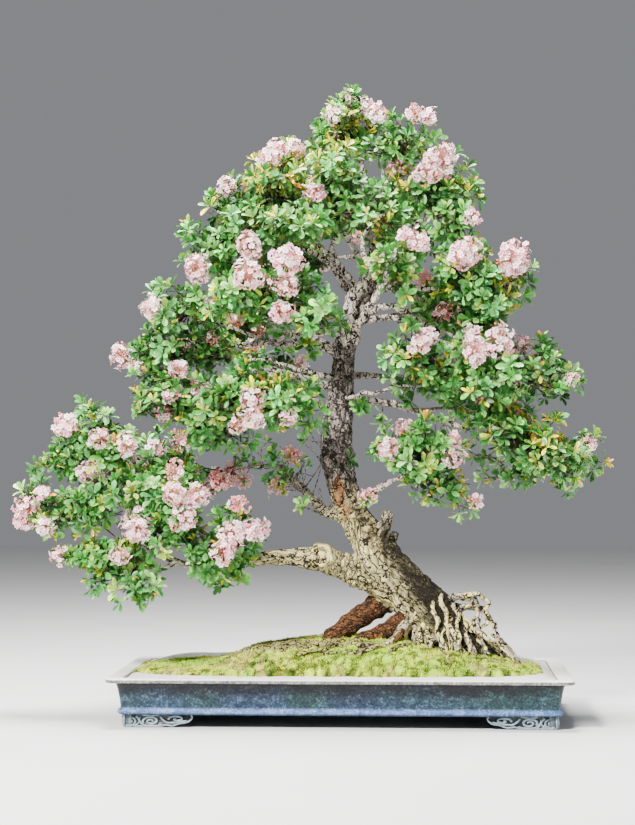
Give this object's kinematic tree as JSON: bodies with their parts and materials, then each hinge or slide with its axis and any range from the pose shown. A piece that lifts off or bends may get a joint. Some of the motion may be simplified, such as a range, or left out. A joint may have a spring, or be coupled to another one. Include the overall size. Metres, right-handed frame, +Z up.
{
  "type": "indian hawthorn bonsai",
  "caption": "Flowering Indian hawthorn bonsai with a curved, leaning trunk, looped surface roots and layered leaf pads, planted in a wide blue-grey glazed tray on scroll feet.",
  "frame": {"origin": "under the middle of the whole bounding box, on the surface that the tray's feet stand on", "axes": "+Z up the tree, +X along the tray to the right as the tree is seen from its front, +Y to its back"},
  "size_m": [1.2056, 0.5256, 1.246],
  "materials": {
    "glaze": "mottled blue-grey glaze, paler on the foot moulding, white on the lip",
    "soil": "moist soil under a carpet of moss",
    "sand": "fine white sand",
    "bark": "rough plated bark",
    "leaf": "glossy leathery leaves",
    "petal": "soft petals",
    "net": "matt"
  },
  "bodies": {
    "root": {"bloom_01": "petal", "bloom_02": "petal", "bloom_03": "petal", "bloom_04": "petal", "bloom_05": "petal", "bloom_06": "petal", "bloom_07": "petal", "bloom_08": "petal", "bloom_09": "petal", "bloom_10": "petal", "bloom_11": "petal", "bloom_12": "petal", "bloom_13": "petal", "bloom_14": "petal", "bloom_15": "petal", "bloom_16": "petal", "bloom_17": "petal", "bloom_18": "petal", "bloom_19": "petal", "bloom_20": "petal", "bloom_21": "petal", "drain_net_left": "net", "drain_net_right": "net", "sand_border": "sand", "soil": "soil", "spray_apex": "leaf", "spray_back_left": "leaf", "spray_back_low_right": "leaf", "spray_back_right": "leaf", "spray_back_top_left": "leaf", "spray_back_top_right": "leaf", "spray_crest_right": "leaf", "spray_high_back": "leaf", "spray_high_front": "leaf", "spray_high_left": "leaf", "spray_high_right": "leaf", "spray_left_back": "leaf", "spray_left_front": "leaf", "spray_left_middle": "leaf", "spray_left_point": "leaf", "spray_left_reach": "leaf", "spray_left_shoulder": "leaf", "spray_left_upper": "leaf", "spray_low_left_back": "leaf", "spray_low_left_end": "leaf", "spray_low_left_front": "leaf", "spray_low_left_mid": "leaf", "spray_low_left_top": "leaf", "spray_low_left_under": "leaf", "spray_right_crest": "leaf", "spray_right_crest_back": "leaf", "spray_right_crest_front": "leaf", "spray_right_lower": "leaf", "spray_right_lower_back": "leaf", "spray_right_lower_front": "leaf", "spray_right_middle": "leaf", "spray_right_middle_back": "leaf", "spray_right_middle_front": "leaf", "tray": "glaze", "trunk": "bark"}
  },
  "joints": []
}
